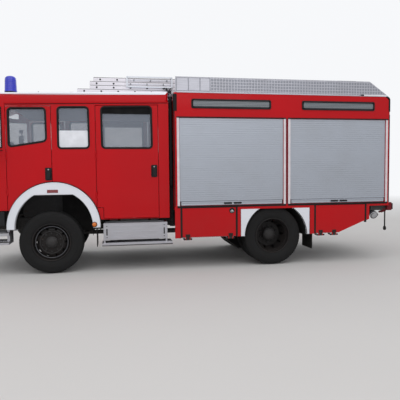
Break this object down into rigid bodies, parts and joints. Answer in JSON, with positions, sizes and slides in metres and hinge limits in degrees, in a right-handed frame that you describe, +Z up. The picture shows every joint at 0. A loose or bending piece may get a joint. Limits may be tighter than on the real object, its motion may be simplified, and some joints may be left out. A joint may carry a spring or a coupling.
{
  "type": "fire engine",
  "caption": "Two-axle fire engine with a crew cab, roller-shuttered equipment body, fold-down lower flaps, roof gallery with ladders and a telescopic light mast.",
  "frame": {"origin": "on the ground, under the middle of the overall length and width", "axes": "+X forwards, +Y to the vehicle's left, +Z up"},
  "size_m": [7.3499, 2.92, 3.385],
  "materials": {
    "red_paint": "gloss",
    "white_paint": "gloss",
    "chassis_black": "satin",
    "cast_dark": "matt",
    "aluminium": "satin",
    "black_plastic": "matt",
    "grey_plastic": "matt",
    "seat_fabric": "woven",
    "glass": "clear",
    "lamp_plastic": "clear",
    "tyre": "matt",
    "rubber": "matt",
    "wheel_paint": "satin"
  },
  "bodies": {
    "truck": {"chassis_frame": "chassis_black", "axles": "cast_dark", "engine_and_drive": "cast_dark", "tanks": "aluminium", "exhaust": "cast_dark", "air_intake": "rubber", "front_bumper": "grey_plastic", "steps": "aluminium", "wheel_arch_trims": "white_paint", "mudflaps": "rubber", "cab_front": "red_paint", "cab_floor": "grey_plastic", "cab_back": "red_paint", "cab_sides": "red_paint", "cab_roof": "red_paint", "cab_glass": "glass", "grille": "black_plastic", "seats": "seat_fabric", "dashboard": "grey_plastic", "mirrors": "black_plastic", "lamps": "lamp_plastic", "body_floor": "aluminium", "body_end_walls": "red_paint", "body_sides": "red_paint", "body_roof": "aluminium", "roller_shutters": "aluminium", "lower_lockers": "aluminium", "rear_bumper": "red_paint", "pump": "aluminium", "roof_gallery": "aluminium", "ladders": "aluminium"},
    "mast": {"light_mast": "aluminium"},
    "head": {"mast_head": "grey_plastic"},
    "lights": {"floodlights": "black_plastic"},
    "left_steering": {"knuckle_left": "cast_dark"},
    "left_front_wheel": {"front_tyre_left": "tyre", "front_rim_left": "wheel_paint"},
    "left_rear_wheels": {"rear_tyres_left": "tyre", "rear_rim_left": "wheel_paint"},
    "left_front_door": {"front_door_left": "red_paint"},
    "left_crew_door": {"crew_door_left": "red_paint"},
    "left_front_flap": {"front_flap_left": "red_paint"},
    "left_rear_flap": {"rear_flap_left": "red_paint"},
    "right_steering": {"knuckle_right": "cast_dark"},
    "right_front_wheel": {"front_tyre_right": "tyre", "front_rim_right": "wheel_paint"},
    "right_rear_wheels": {"rear_tyres_right": "tyre", "rear_rim_right": "wheel_paint"},
    "right_front_door": {"front_door_right": "red_paint"},
    "right_crew_door": {"crew_door_right": "red_paint"},
    "right_front_flap": {"front_flap_right": "red_paint"},
    "right_rear_flap": {"rear_flap_right": "red_paint"}
  },
  "joints": [
    {"name": "steer_left", "type": "hinge", "parent": "truck", "child": "left_steering", "pos_m": [2.405, 0.85, 0.51], "axis": [0, 0, 1], "range_deg": [-35, 35]},
    {"name": "roll_front_left", "type": "hinge", "parent": "left_steering", "child": "left_front_wheel", "pos_m": [2.405, 0.99, 0.51], "axis": [0, 1, 0], "continuous": true},
    {"name": "roll_rear_left", "type": "hinge", "parent": "truck", "child": "left_rear_wheels", "pos_m": [-1.295, 0.9, 0.51], "axis": [0, 1, 0], "continuous": true},
    {"name": "door_front_left", "type": "hinge", "parent": "truck", "child": "left_front_door", "pos_m": [3.046, 1.16, 1.8], "axis": [0, 0, -1], "range_deg": [0, 70]},
    {"name": "door_crew_left", "type": "hinge", "parent": "truck", "child": "left_crew_door", "pos_m": [1.676, 1.16, 1.8], "axis": [0, 0, -1], "range_deg": [0, 80]},
    {"name": "flap_front_left", "type": "hinge", "parent": "truck", "child": "left_front_flap", "pos_m": [-0.165, 1.242, 0.5], "axis": [-1, 0, 0], "range_deg": [0, 90]},
    {"name": "flap_rear_left", "type": "hinge", "parent": "truck", "child": "left_rear_flap", "pos_m": [-2.535, 1.242, 0.5], "axis": [-1, 0, 0], "range_deg": [0, 90]},
    {"name": "steer_right", "type": "hinge", "parent": "truck", "child": "right_steering", "pos_m": [2.405, -0.85, 0.51], "axis": [0, 0, 1], "range_deg": [-35, 35]},
    {"name": "roll_front_right", "type": "hinge", "parent": "right_steering", "child": "right_front_wheel", "pos_m": [2.405, -0.99, 0.51], "axis": [0, 1, 0], "continuous": true},
    {"name": "roll_rear_right", "type": "hinge", "parent": "truck", "child": "right_rear_wheels", "pos_m": [-1.295, -0.9, 0.51], "axis": [0, 1, 0], "continuous": true},
    {"name": "door_front_right", "type": "hinge", "parent": "truck", "child": "right_front_door", "pos_m": [3.046, -1.16, 1.8], "axis": [0, 0, 1], "range_deg": [0, 70]},
    {"name": "door_crew_right", "type": "hinge", "parent": "truck", "child": "right_crew_door", "pos_m": [1.676, -1.16, 1.8], "axis": [0, 0, 1], "range_deg": [0, 80]},
    {"name": "flap_front_right", "type": "hinge", "parent": "truck", "child": "right_front_flap", "pos_m": [-0.165, -1.242, 0.5], "axis": [1, 0, 0], "range_deg": [0, 90]},
    {"name": "flap_rear_right", "type": "hinge", "parent": "truck", "child": "right_rear_flap", "pos_m": [-2.535, -1.242, 0.5], "axis": [1, 0, 0], "range_deg": [0, 90]},
    {"name": "mast_lift", "type": "slide", "parent": "truck", "child": "mast", "axis": [0, 0, 1], "range_m": [0, 1.5]},
    {"name": "mast_turn", "type": "hinge", "parent": "mast", "child": "head", "pos_m": [-2.865, 0, 3.24], "axis": [0, 0, 1], "range_deg": [-170, 170]},
    {"name": "lights_tilt", "type": "hinge", "parent": "head", "child": "lights", "pos_m": [-2.885, 0, 3.325], "axis": [0, 1, 0], "range_deg": [0, 100]}
  ],
  "couplings": [
    {"joint": "steer_right", "follows": "steer_left", "ratio": 1}
  ]
}
